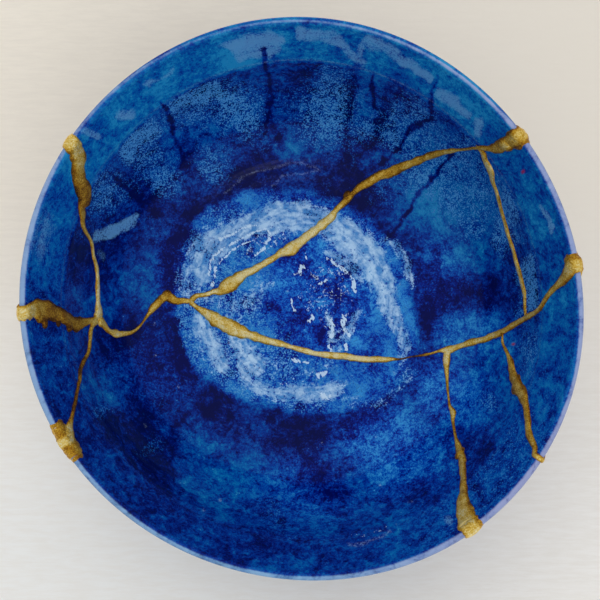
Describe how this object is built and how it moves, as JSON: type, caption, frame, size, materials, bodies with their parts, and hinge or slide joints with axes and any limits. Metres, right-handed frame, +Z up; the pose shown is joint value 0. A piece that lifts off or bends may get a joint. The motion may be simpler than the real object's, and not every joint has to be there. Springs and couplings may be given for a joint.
{
  "type": "kintsugi bowl",
  "caption": "Round stoneware bowl with a flared collar and a turned foot ring, glazed blue, broken and joined again with raised gold seams that run over the lip.",
  "frame": {"origin": "on the bowl's axis, level with the underside of the foot ring", "axes": "+Z up out of the open side of the bowl; +X towards the right of the picture and +Y towards its top, as seen looking down into the bowl"},
  "size_m": [0.162, 0.1599, 0.0629],
  "materials": {
    "glaze": "gloss",
    "gold": "satin"
  },
  "bodies": {
    "root": {"sherd_top": "glaze", "sherd_upper_right": "glaze", "sherd_center": "glaze", "sherd_right": "glaze", "sherd_lower_right": "glaze", "sherd_bottom": "glaze", "sherd_lower_left": "glaze", "sherd_upper_left": "glaze", "gold_seams": "gold"}
  },
  "joints": []
}
